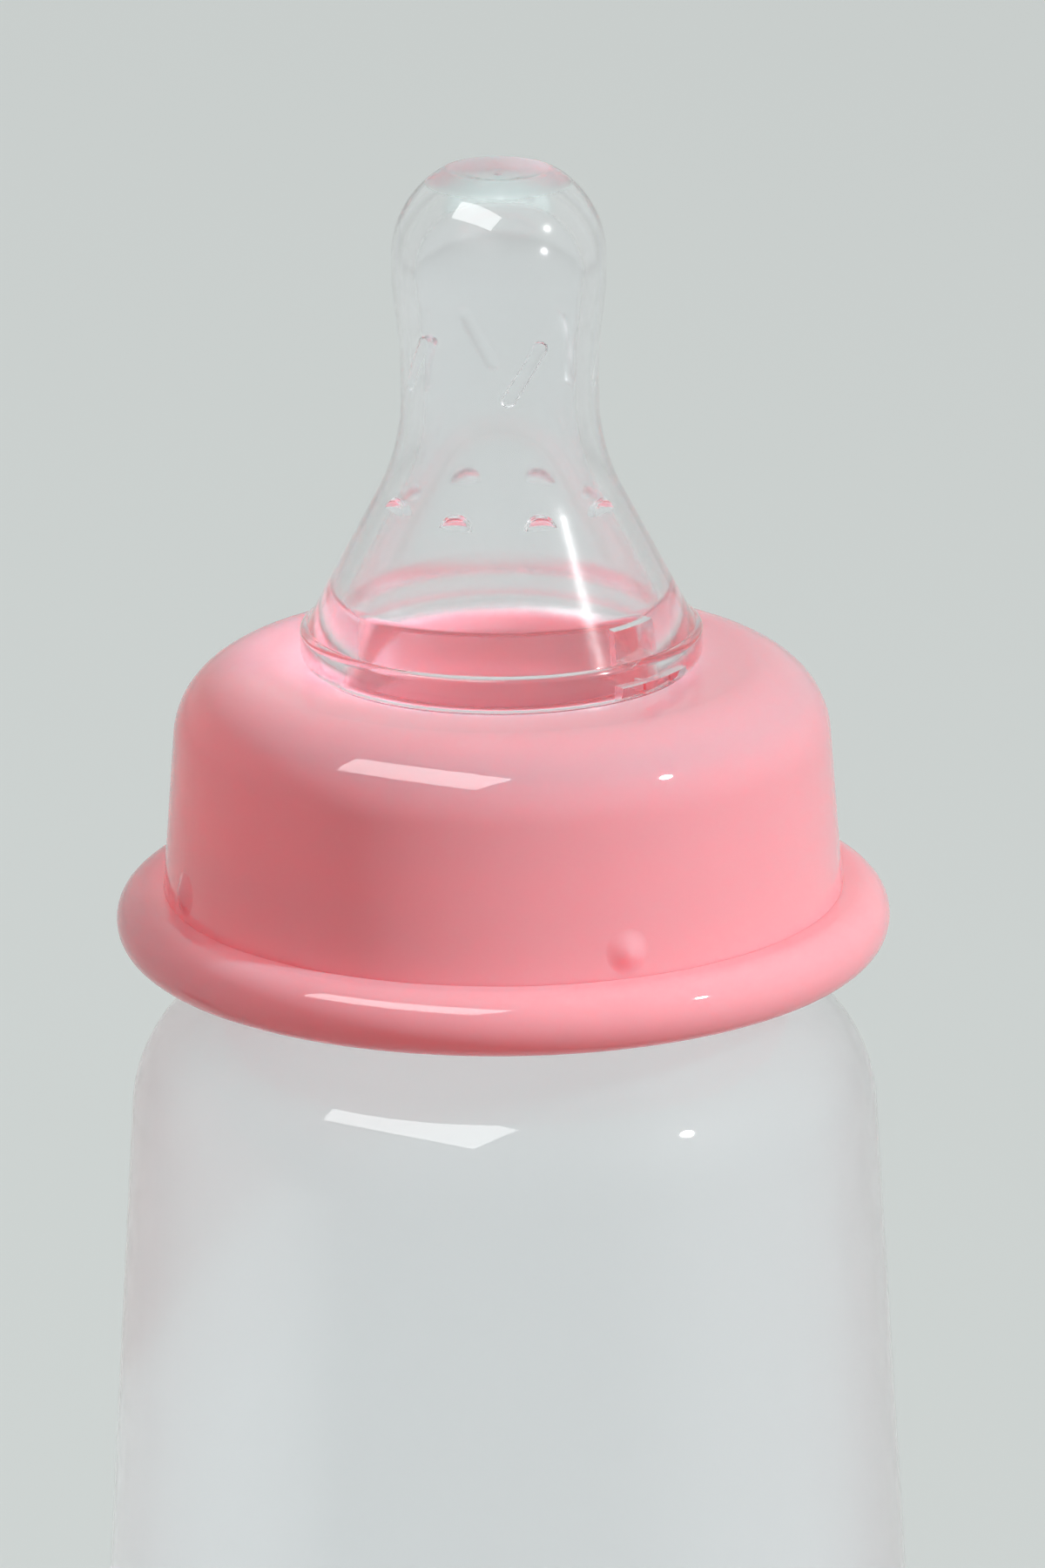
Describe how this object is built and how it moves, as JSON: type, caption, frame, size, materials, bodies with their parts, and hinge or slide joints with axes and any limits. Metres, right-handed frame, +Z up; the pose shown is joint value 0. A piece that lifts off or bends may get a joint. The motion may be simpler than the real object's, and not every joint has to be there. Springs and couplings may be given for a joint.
{
  "type": "baby bottle",
  "caption": "Narrow-neck feeding bottle: a translucent hollow body with a measuring scale, a screw collar with a rolled lip, and a clear moulded teat held by the collar.",
  "frame": {"origin": "centre of the ring that the bottle stands on", "axes": "+Z up along the bottle's axis towards the teat; -Y is the front, and the measuring scale is at the back, +Y"},
  "size_m": [0.058, 0.058, 0.1826],
  "materials": {
    "milky_plastic": "translucent milky polypropylene, satin",
    "pink_plastic": "glossy pink polypropylene, slightly translucent",
    "clear_silicone": "clear glossy silicone rubber"
  },
  "bodies": {
    "bottle": {"bottle_body": "milky_plastic"},
    "teat": {"teat": "clear_silicone"},
    "collar": {"screw_collar": "pink_plastic"}
  },
  "joints": [
    {"name": "teat_lift", "type": "slide", "parent": "bottle", "child": "teat", "axis": [0, 0, 1], "range_m": [0, 0.0213]},
    {"name": "collar_turn", "type": "hinge", "parent": "teat", "child": "collar", "pos_m": [0, 0, 0.1388], "axis": [0, 0, 1], "range_deg": [0, 1530]}
  ],
  "couplings": [
    {"joint": "teat_lift", "follows": "collar_turn", "m_per_rad": 0.00079577}
  ]
}
